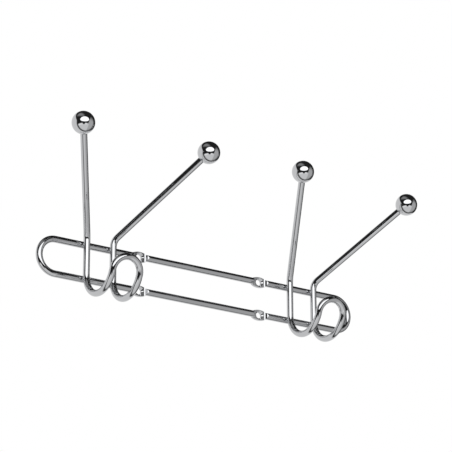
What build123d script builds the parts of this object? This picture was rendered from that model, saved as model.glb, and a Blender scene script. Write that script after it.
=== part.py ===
"""Coat hook rail for a wall, welded from chrome-plated round steel wire.

X runs along the rails, Y points into the wall and Z is up. The wall is the plane Y = 0, and the
origin lies on it, in the middle of the four screw eyes.
"""

import os
from math import cos, radians, sin, tan

from build123d import *

# Driving dimensions, in millimetres and degrees

# Wire that the frame and both hooks are bent from
wire_diameter = 5.2

# Rail frame, a closed loop with two straight rails and round ends
rail_length = 295.2  # over the outside of the round ends
rail_spacing = 27.3  # between the centre lines of the two rails

# Screw eyes, pressed until the wire spreads, then pierced and sunk for the head of a screw
eye_spacing = 113.0  # between the holes along one rail
eye_length = 16.0  # of the spread metal
eye_width = 8.7
eye_thickness = 2.8
eye_bulge_depth = 1.5  # widest line of the spread metal in front of the wall
eye_hole_diameter = 5.0
eye_sink_diameter = 7.5
eye_sink_angle = 90.0
press_face_length = 10.0  # flat face that the press leaves
press_ramp_length = 1.6  # slope from that face up to the round wire
press_foot_radius = 1.6
press_shoulder_radius = 2.0
press_relief = 0.02  # start of the slope in front of the wire

# Hook wires, each one bent from end to end
hook_pitch = 190.0  # between the middles of the two hooks
leg_spacing = 23.4  # between the two legs of one hook
weld_set_down = 0.4  # depth that a welded leg sinks onto the rail
prong_bend_rise = 6.2  # corner of leg and prong above the upper rail
prong_bend_radius = 9.0
prong_length = 99.5  # from that corner to the middle of the ball
lower_bend_lead = 2.9  # start of the lower bend above the lower rail
lower_bend_radius = 19.5
arch_lean = 19.4  # forward lean of the arch that closes the lower hook

# Sideways splay and forward lean of each prong, as bent
left_outer_angles = (26.3, 47.6)
left_inner_angles = (26.4, 46.5)
right_inner_angles = (21.1, 47.0)
right_outer_angles = (23.8, 53.1)

# Balls on the ends of the prongs
ball_diameter = 17.4
ball_bore_clearance = 0.05
ball_bore_chamfer = 0.4

# Places that follow from the driving dimensions

wire_radius = wire_diameter / 2
rail_height = rail_spacing / 2
rail_straight = rail_length - wire_diameter - rail_spacing
leg_front = 2 * wire_diameter - wire_radius - weld_set_down  # leg centre line in front of the wall
eye_places = (-eye_spacing / 2, eye_spacing / 2)
press_foot = press_face_length / 2
press_shoulder = press_foot + press_ramp_length
press_reach = press_shoulder + wire_diameter
press_start = -wire_diameter - press_relief
press_front = press_start - wire_diameter
press_radii = [press_shoulder_radius, press_foot_radius, press_foot_radius, press_shoulder_radius]
prong_corner_height = rail_height + prong_bend_rise
lower_bend_start = lower_bend_lead - rail_height

os.makedirs("parts", exist_ok=True)


def save(part, name):
    """Label a finished piece and write it to its own file."""
    part.label = name
    export_step(part, f"parts/{name}.step")


def prong_direction(side, angles):
    """Unit vector up a prong, for the leg on the left (-1) or right (1) of its hook."""
    splay = radians(angles[0])
    lean = radians(angles[1])
    return Vector(side * sin(splay), -sin(lean) * cos(splay), cos(lean) * cos(splay))


def prong_tip(hook_x, side, angles):
    """Middle of the ball, where the wire of that prong ends."""
    corner = Vector(hook_x + side * leg_spacing / 2, -leg_front, prong_corner_height)
    return corner + prong_direction(side, angles) * prong_length


# Metal that the press spreads at a screw eye: an oval barrel, flat where it lies on the wall

with BuildPart() as spread_eye:
    with BuildSketch():
        with BuildLine():
            bulge = EllipticalCenterArc(
                (0, -eye_bulge_depth), eye_length / 2, eye_width / 2, start_angle=0, arc_size=180
            )
            Line(bulge @ 1, bulge @ 0)
        make_face()
    revolve(axis=Axis((0, -eye_bulge_depth, 0), (1, 0, 0)))
    split(bisect_by=Plane.XZ)

# Rail frame: a swept loop that swells at the screw eyes, pressed from the front and then pierced

with BuildPart() as rail_frame:
    with BuildLine(Plane.XZ.offset(wire_radius)) as loop:
        upper = Line((-rail_straight / 2, rail_height), (rail_straight / 2, rail_height))
        right_end = TangentArc(upper @ 1, (rail_straight / 2, -rail_height), tangent=upper % 1)
        lower = Line(right_end @ 1, (-rail_straight / 2, -rail_height))
        TangentArc(lower @ 1, upper @ 0, tangent=lower % 1)
    with BuildSketch(Plane(origin=upper @ 0, z_dir=upper % 0)):
        Circle(wire_radius)
    sweep(path=loop.wires()[0])
    with Locations(*[(x, 0, z) for x in eye_places for z in (-rail_height, rail_height)]):
        add(spread_eye.part)

    for x in eye_places:
        with BuildSketch(Plane(origin=(x, 0, 0))):
            with BuildLine():
                pressed = FilletPolyline(
                    (-press_reach, press_start),
                    (-press_shoulder, press_start),
                    (-press_foot, -eye_thickness),
                    (press_foot, -eye_thickness),
                    (press_shoulder, press_start),
                    (press_reach, press_start),
                    radius=press_radii,
                )
                Polyline(pressed @ 1, (press_reach, press_front), (-press_reach, press_front), pressed @ 0)
            make_face()
        extrude(amount=rail_height + eye_width, both=True, mode=Mode.SUBTRACT)

    with Locations(Plane.XZ.offset(eye_thickness)):
        with GridLocations(eye_spacing, rail_spacing, 2, 2):
            CounterSinkHole(eye_hole_diameter / 2, eye_sink_diameter / 2, counter_sink_angle=eye_sink_angle)

save(rail_frame.part, "rail_frame")

# Hook wires: prong, leg, lower bend, arch and back again, with a saddle where each leg meets a rail

hooks = {
    "left_hook_wire": (-hook_pitch / 2, left_outer_angles, left_inner_angles),
    "right_hook_wire": (hook_pitch / 2, right_inner_angles, right_outer_angles),
}

arch_turn = radians(180 - arch_lean)
arch_start_front = leg_front + lower_bend_radius * (1 - cos(arch_turn))
arch_start_height = lower_bend_start - lower_bend_radius * sin(arch_turn)
arch_rise = Vector(0, -sin(radians(arch_lean)), cos(radians(arch_lean)))

for name, (hook_x, left_angles, right_angles) in hooks.items():
    left_x = hook_x - leg_spacing / 2
    right_x = hook_x + leg_spacing / 2
    left_up = prong_direction(-1, left_angles)
    right_up = prong_direction(1, right_angles)
    left_setback = prong_bend_radius * tan(radians(left_up.get_angle(Vector(0, 0, 1))) / 2)
    right_setback = prong_bend_radius * tan(radians(right_up.get_angle(Vector(0, 0, 1))) / 2)
    left_corner = Vector(left_x, -leg_front, prong_corner_height)
    right_corner = Vector(right_x, -leg_front, prong_corner_height)
    left_arch = Vector(left_x, -arch_start_front, arch_start_height)
    right_arch = Vector(right_x, -arch_start_front, arch_start_height)

    with BuildPart() as hook_wire:
        with BuildLine() as bent:
            left_prong = Line(prong_tip(hook_x, -1, left_angles), left_corner + left_up * left_setback)
            left_bend = TangentArc(
                left_prong @ 1, left_corner - Vector(0, 0, left_setback), tangent=left_prong % 1
            )
            left_leg = Line(left_bend @ 1, (left_x, -leg_front, lower_bend_start))
            left_lower = TangentArc(left_leg @ 1, left_arch, tangent=left_leg % 1)
            arch = TangentArc(left_lower @ 1, right_arch, tangent=arch_rise)
            right_lower = TangentArc(arch @ 1, (right_x, -leg_front, lower_bend_start), tangent=-arch_rise)
            right_leg = Line(right_lower @ 1, right_corner - Vector(0, 0, right_setback))
            right_bend = TangentArc(
                right_leg @ 1, right_corner + right_up * right_setback, tangent=right_leg % 1
            )
            Line(right_bend @ 1, prong_tip(hook_x, 1, right_angles))
        with BuildSketch(Plane(origin=left_prong @ 0, z_dir=left_prong % 0)):
            Circle(wire_radius)
        sweep(path=bent.wires()[0])
        add(rail_frame.part, mode=Mode.SUBTRACT)

    save(hook_wire.part, name)

# Balls: a sphere with a blind bore that the prong's end fills

balls = {
    "left_outer_ball": (-hook_pitch / 2, -1, left_outer_angles),
    "left_inner_ball": (-hook_pitch / 2, 1, left_inner_angles),
    "right_inner_ball": (hook_pitch / 2, -1, right_inner_angles),
    "right_outer_ball": (hook_pitch / 2, 1, right_outer_angles),
}

bore_radius = wire_radius + ball_bore_clearance

for name, (hook_x, side, angles) in balls.items():
    tip = prong_tip(hook_x, side, angles)
    along = prong_direction(side, angles)
    with BuildPart() as ball:
        with Locations(tip):
            Sphere(ball_diameter / 2)
        with BuildSketch(Plane(origin=tip, z_dir=-along)):
            Circle(bore_radius)
        extrude(amount=ball_diameter, mode=Mode.SUBTRACT)
        mouth = ball.edges().filter_by(GeomType.CIRCLE).sort_by(Axis(tip, along))[0]
        chamfer(mouth, ball_bore_chamfer)

    save(ball.part, name)
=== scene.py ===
# %% [markdown]
# # A chromed coat rail
# The real object is a wall coat rail, welded from round steel wire and then chrome plated in one bath.
# Its shapes come from the CAD frame, so this lesson is about the finish: how bright chrome is made to
# look like chrome. A mirror has hardly any colour of its own. It shows the room that it stands in, so
# half of the work below is a small studio for it to reflect.

# %% Load the frame
import math

import bpy
from mathutils import Matrix, Vector

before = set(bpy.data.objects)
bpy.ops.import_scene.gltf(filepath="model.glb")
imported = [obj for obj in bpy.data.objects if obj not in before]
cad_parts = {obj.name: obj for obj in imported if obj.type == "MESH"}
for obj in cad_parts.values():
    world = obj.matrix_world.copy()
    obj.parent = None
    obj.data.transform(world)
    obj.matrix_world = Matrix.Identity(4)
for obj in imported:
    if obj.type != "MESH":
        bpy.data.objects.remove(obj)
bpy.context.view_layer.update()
print("nodes:", ", ".join(sorted(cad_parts)))

# %% [markdown]
# ## Two helpers
# A picked colour is an sRGB value, as on a screen, but a shader works with linear light. One function
# turns the first into the second. A second function adds a node, sets what is given and links the
# inputs, so that every material below reads as a short list of what feeds what.

# %% Colour and node helpers
MM = 0.001


def linear(colour_hex):
    """Linear RGBA from an sRGB colour such as "C8C9CA"."""
    srgb = [int(colour_hex[i:i + 2], 16) / 255 for i in (0, 2, 4)]
    return [v / 12.92 if v <= 0.04045 else ((v + 0.055) / 1.055) ** 2.4 for v in srgb] + [1.0]


def add_node(tree, kind, settings=None, **inputs):
    """Add a node and set its properties. Inputs go by name, or by number as _0, and are set or linked."""
    node = tree.nodes.new(kind)
    for name, value in (settings or {}).items():
        setattr(node, name, value)
    for name, value in inputs.items():
        socket = node.inputs[int(name[1:])] if name[0] == "_" else node.inputs[name.replace("_", " ")]
        if isinstance(value, bpy.types.NodeSocket):
            tree.links.new(value, socket)
        else:
            socket.default_value = value
    return node


print("mid grey 808080 is", round(linear("808080")[0], 3), "in linear light")

# %% [markdown]
# ## Bright chrome on drawn wire
# Decorative chrome is a film thinner than a hair over polished nickel. It reflects a little over half
# of the light, with the faintest blue, and it copies the steel below it: drawn wire keeps a slow
# waviness along its length and fine polishing marks. A flat grey metal would look like a drawing of
# chrome. So the shader is a plain metal whose colour and roughness wander over a few millimetres, with
# a bump so shallow that it only unsettles the reflections.

# %% Chrome plate as a function


def chrome_plate(name, colour_hex, dull_hex, roughness, wave_mm, wave_depth_mm, mark_mm, mark_depth_mm):
    """Chrome plate: thin spots in the film, slow waves in the metal below and fine polishing marks."""
    cloud_mm = 6 * wave_mm  # thin spots in the film are much wider than the waves
    marks_low, marks_high = 0.3, 0.75  # most of the noise lies between these two
    smoothest, roughest = 0.6 * roughness, 1.5 * roughness

    material = bpy.data.materials.new(name)
    material.use_nodes = True
    tree = material.node_tree
    tree.nodes.clear()
    place = add_node(tree, "ShaderNodeTexCoord").outputs["Object"]
    cloud = add_node(
        tree, "ShaderNodeTexNoise", Vector=place, Scale=1 / (cloud_mm * MM), Detail=3.0, Roughness=0.55
    )
    wave = add_node(tree, "ShaderNodeTexNoise", Vector=place, Scale=1 / (wave_mm * MM), Detail=1.0)
    marks = add_node(
        tree, "ShaderNodeTexNoise", Vector=place, Scale=1 / (mark_mm * MM), Detail=4.0, Distortion=0.6
    )
    # A Mix node has a pair of inputs for each kind of value, all named A and B. Colours are 6 and 7.
    film = add_node(
        tree, "ShaderNodeMix", {"data_type": "RGBA"}, Factor=cloud.outputs["Fac"],
        _6=linear(colour_hex), _7=linear(dull_hex),
    )
    polish = add_node(
        tree, "ShaderNodeMapRange", Value=marks.outputs["Fac"], From_Min=marks_low, From_Max=marks_high,
        To_Min=smoothest, To_Max=roughest,
    )
    slow = add_node(
        tree, "ShaderNodeBump", Height=wave.outputs["Fac"], Strength=1.0, Distance=wave_depth_mm * MM
    )
    fine = add_node(
        tree, "ShaderNodeBump", Height=marks.outputs["Fac"], Strength=1.0, Distance=mark_depth_mm * MM,
        Normal=slow.outputs["Normal"],
    )
    shader = add_node(
        tree, "ShaderNodeBsdfPrincipled", Base_Color=film.outputs[2], Metallic=1.0,
        Roughness=polish.outputs["Result"], Normal=fine.outputs["Normal"],
    )
    add_node(tree, "ShaderNodeOutputMaterial", Surface=shader.outputs["BSDF"])
    print("chrome:", name, "with waves of", wave_mm, "mm and marks of", mark_mm, "mm")
    return material


# %% [markdown]
# ## Three grades of the same plate
# All pieces hang in one bath, but the metal below the plate differs. The rail is straight wire, the
# hooks are bent by hand and polished again, and the balls are turned on a lathe. One function with
# other numbers gives all three, so they stay a family.

# %% Chrome materials
# Real polishing marks are a few hundredths of a millimetre wide, too fine for a pixel. They are drawn
# about twenty times as coarse and very shallow, so that they only soften the edge of a reflection.
finishes = {
    # Drawn wire as it comes: long stripes of light that waver a little, and the softest mirror
    "rail_frame": chrome_plate(
        "chrome_plated_drawn_rail_wire", "CDCED0", "C4C5C7", roughness=0.035,
        wave_mm=9.0, wave_depth_mm=0.010, mark_mm=0.6, mark_depth_mm=0.0002,
    ),
    # Bent and polished wire: stripes of light that run cleanly round the bends
    "hook_wire": chrome_plate(
        "chrome_plated_bent_hook_wire", "D0D1D3", "C7C8CA", roughness=0.03,
        wave_mm=10.0, wave_depth_mm=0.010, mark_mm=0.7, mark_depth_mm=0.0002,
    ),
    # Turned and polished ball: the truest mirror, which shows the whole room small and sharp
    "ball": chrome_plate(
        "chrome_plated_turned_ball", "D4D5D7", "CBCCCE", roughness=0.02,
        wave_mm=9.0, wave_depth_mm=0.005, mark_mm=0.8, mark_depth_mm=0.0001,
    ),
}

# %% [markdown]
# ## Put the finish on the CAD pieces
# The CAD meshes carry exact normals from the true curves, so they reflect smoothly as they are. Each
# node only trades its plain material for one of the finishes above.

# %% Assign the finishes
for node_name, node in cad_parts.items():
    finish = next(material for part, material in finishes.items() if node_name.endswith(part))
    for slot in node.material_slots:
        slot.material = finish
    print(node_name, "gets", finish.name)

# %% [markdown]
# ## A pale floor, far below
# The rail hangs at about the height of a shoulder. The camera of the photograph looks up at it, so the
# floor has to be lower than the camera too. The room is dim, to keep the chrome dark where it should
# be, and would leave even white paint grey. More lamps would bleach the chrome, so the paint glows a
# little, but only for rays that come straight from the camera.

# %% Floor
floor_drop = 1.5
floor_half_size = 12.0
floor_glow = 0.72

bpy.ops.mesh.primitive_plane_add(size=2 * floor_half_size, location=(0, 0, -floor_drop))
floor = bpy.context.object
floor.name = "floor"
# Matt floor paint, rolled on: no gloss, so nothing on it draws the eye
floor_paint = bpy.data.materials.new("matt_rolled_floor_paint")
floor_paint.use_nodes = True
floor_tree = floor_paint.node_tree
floor_tree.nodes.clear()
seen = add_node(floor_tree, "ShaderNodeLightPath").outputs["Is Camera Ray"]
floor_light = add_node(floor_tree, "ShaderNodeMath", {"operation": "MULTIPLY"}, _0=seen, _1=floor_glow)
floor_shader = add_node(
    floor_tree, "ShaderNodeBsdfPrincipled", Base_Color=linear("F2F2F2"), Roughness=0.8,
    Emission_Color=linear("FFFFFF"), Emission_Strength=floor_light.outputs[0],
)
add_node(floor_tree, "ShaderNodeOutputMaterial", Surface=floor_shader.outputs["BSDF"])
floor.data.materials.append(floor_paint)
floor.visible_glossy = False
print("floor", floor_drop, "m below the rail")

# %% [markdown]
# ## The studio that the chrome shows
# The balls in the photograph are small mirrors of the room: a white sheet behind the rail, a white
# board low in front that is lit more near its top, grey to the right, a faint light up on the left, and
# darkness between them. The camera is a dark spot in front of the board. All of this could be built
# from planes, but a world shader can be that room with nothing to set up: a dot product tells how far
# a ray points along some direction, and a bright patch is a product of soft steps along a few of them.
# The dark gap between sheet and board draws the fine dark ring around every ball.

# %% Patches of light in the room
# Directions along which the patches end. Most are tilted a little, as the edges in the balls are.
to_right = (1.0, 0.0, 0.0)
to_top = (0.0, 0.0, 1.0)
behind_low = (0.0, 0.966, 0.259)
behind_high = (-0.250, 0.871, -0.423)
board_up = (-0.07, 0.0, 0.998)
right_low = (0.968, 0.0, -0.252)
to_camera = (-0.40, -0.82, -0.41)

# A step is a direction, the place along it that is still dark and the place that is fully bright
board_top = (board_up, -0.30, -0.45)
board_back = (behind_low, 0.03, -0.25)
camera_spot = (to_camera, 0.99, 0.96)

# A patch is its brightness and its steps
patches = {
    "white sheet behind": (0.82, [(behind_low, 0.03, 0.27), (behind_high, 0.25, 0.31)]),
    "board below": (0.80, [board_top, board_back, camera_spot, (to_right, 0.75, 0.35)]),
    "lit top of the board": (
        1.05, [board_top, board_back, camera_spot, (board_up, -0.90, -0.50), (to_right, 0.40, 0.10)]
    ),
    "grey right": (0.53, [(right_low, 0.36, 0.48), (to_top, 0.85, 0.05), (behind_low, 0.12, -0.36)]),
    "faint light up left": (0.30, [(to_top, 0.56, 0.88), (to_right, 0.02, -0.42), (behind_low, 0.66, 0.30)]),
}
for patch_name, (brightness, steps) in patches.items():
    print("patch:", patch_name, brightness, "ends along", len(steps), "directions")

# %% [markdown]
# ## The room as nodes
# The list above now becomes nodes. Each step is a dot product and a smooth Map Range, the steps of a
# patch are multiplied, and the brightest patch wins over a faint glow that stands for the dark walls.

# %% World
dark_wall_glow = 0.02

world = bpy.data.worlds.new("studio")
bpy.context.scene.world = world
world.use_nodes = True
room = world.node_tree
room.nodes.clear()
ray = add_node(room, "ShaderNodeTexCoord").outputs["Generated"]
glow = add_node(room, "ShaderNodeValue")
glow.outputs[0].default_value = dark_wall_glow
brightest = glow.outputs[0]
for brightness, steps in patches.values():
    patch = None
    for toward, dark, bright in steps:
        along = add_node(room, "ShaderNodeVectorMath", {"operation": "DOT_PRODUCT"}, _0=ray, _1=toward)
        step = add_node(
            room, "ShaderNodeMapRange", {"interpolation_type": "SMOOTHSTEP"}, Value=along.outputs["Value"],
            From_Min=min(dark, bright), From_Max=max(dark, bright),
            To_Min=0.0 if dark < bright else 1.0, To_Max=1.0 if dark < bright else 0.0,
        ).outputs["Result"]
        patch = step if patch is None else add_node(
            room, "ShaderNodeMath", {"operation": "MULTIPLY"}, _0=patch, _1=step
        ).outputs[0]
    lit = add_node(room, "ShaderNodeMath", {"operation": "MULTIPLY"}, _0=patch, _1=brightness)
    brightest = add_node(
        room, "ShaderNodeMath", {"operation": "MAXIMUM"}, _0=brightest, _1=lit.outputs[0]
    ).outputs[0]
print("room of", len(patches), "patches in", len(room.nodes), "nodes")

# %% [markdown]
# ## A white background
# The photograph's background is plain white. A bright room would bleach the chrome, so only the rays
# that come straight from the camera see white. Every reflection still sees the room, where the white
# sheet behind the rail stands for that background.

# %% Background
camera_ray = add_node(room, "ShaderNodeLightPath").outputs["Is Camera Ray"]
# Plain numbers are inputs 2 and 3 of a Mix node
shown = add_node(
    room, "ShaderNodeMix", {"data_type": "FLOAT"}, Factor=camera_ray, _2=brightest, _3=1.0
)
background = add_node(room, "ShaderNodeBackground", Color=shown.outputs[0], Strength=1.0)
add_node(room, "ShaderNodeOutputWorld", Surface=background.outputs["Background"])
print("white for the camera, the room for reflections")

# %% [markdown]
# ## One oval softbox
# The white window in every ball, and the white stripe down every leg, is a large oval softbox in front
# of the rail. A glowing mesh could stand for it, but an area lamp is just that: a bright face with soft
# shadows. Its power follows from its size and from how bright its face should look. It is turned to
# the left and tilted a little, until its window lies level in the balls.

# %% Softbox
upright = math.radians(90)  # an area lamp shines straight down until it is turned
softbox_turn = math.radians(-27)
softbox_tilt = math.radians(-9)
softbox_distance = 1.2
softbox_left, softbox_right = -0.82, 1.22
softbox_bottom, softbox_top = -0.07, 1.0
softbox_radiance = 1.7

softbox_width = softbox_right - softbox_left
softbox_height = softbox_top - softbox_bottom
softbox_area = math.pi / 4 * softbox_width * softbox_height
lamp = bpy.data.lights.new("softbox", "AREA")
lamp.shape = "ELLIPSE"
lamp.size = softbox_width
lamp.size_y = softbox_height
lamp.energy = softbox_radiance * math.pi * softbox_area
softbox = bpy.data.objects.new("softbox", lamp)
face_middle = Vector((
    (softbox_left + softbox_right) / 2, -softbox_distance, (softbox_bottom + softbox_top) / 2
))
softbox.location = Matrix.Rotation(softbox_turn, 3, "Z") @ face_middle
softbox.rotation_euler = (upright, softbox_tilt, softbox_turn)
bpy.context.collection.objects.link(softbox)
print("softbox", round(softbox_width, 2), "by", round(softbox_height, 2), "m,", round(lamp.energy, 1), "W")

# %% [markdown]
# ## The photograph's camera
# The camera stands to the left of the rail, in front and below it, and looks up with a long lens. Its
# matrix is built from three directions: right, up and back towards the camera. A Track To constraint
# would do too, but it can't hold the small roll of the photograph.

# %% Camera directions
view_azimuth = math.radians(34.63)
view_elevation = math.radians(-19.39)
view_roll = math.radians(-0.17)

back = Vector((
    -math.sin(view_azimuth) * math.cos(view_elevation),
    -math.cos(view_azimuth) * math.cos(view_elevation),
    math.sin(view_elevation),
))
level_right = Vector((math.cos(view_azimuth), -math.sin(view_azimuth), 0))
level_up = back.cross(level_right)
right = level_right * math.cos(view_roll) + level_up * math.sin(view_roll)
up = level_up * math.cos(view_roll) - level_right * math.sin(view_roll)
print("from the rail, the camera is towards", [round(v, 3) for v in back])

# %% [markdown]
# ## Lens and place
# How long the lens is, and how far off it stands, was found by fitting both to the photograph. The fit
# counts the focal length in pixels of a square picture, which the width of the sensor turns into
# millimetres.

# %% Camera
image_size = 452
focal_pixels = 2146.8
view_distance = 1.7143
target = Vector((0.0263, 0.0, 0.0561))

lens = bpy.data.cameras.new("camera")
lens.lens = focal_pixels / image_size * lens.sensor_width
camera = bpy.data.objects.new("camera", lens)
turn = Matrix((right, up, back)).transposed().to_4x4()
camera.matrix_world = Matrix.Translation(target + back * view_distance) @ turn
bpy.context.collection.objects.link(camera)
bpy.context.scene.camera = camera
print("lens", round(lens.lens, 1), "mm, camera at", [round(v, 3) for v in camera.location])

# %% [markdown]
# ## Finish
# Standard view transform shows colours as they are written.

# %% Finish
bpy.context.scene.view_settings.view_transform = "Standard"
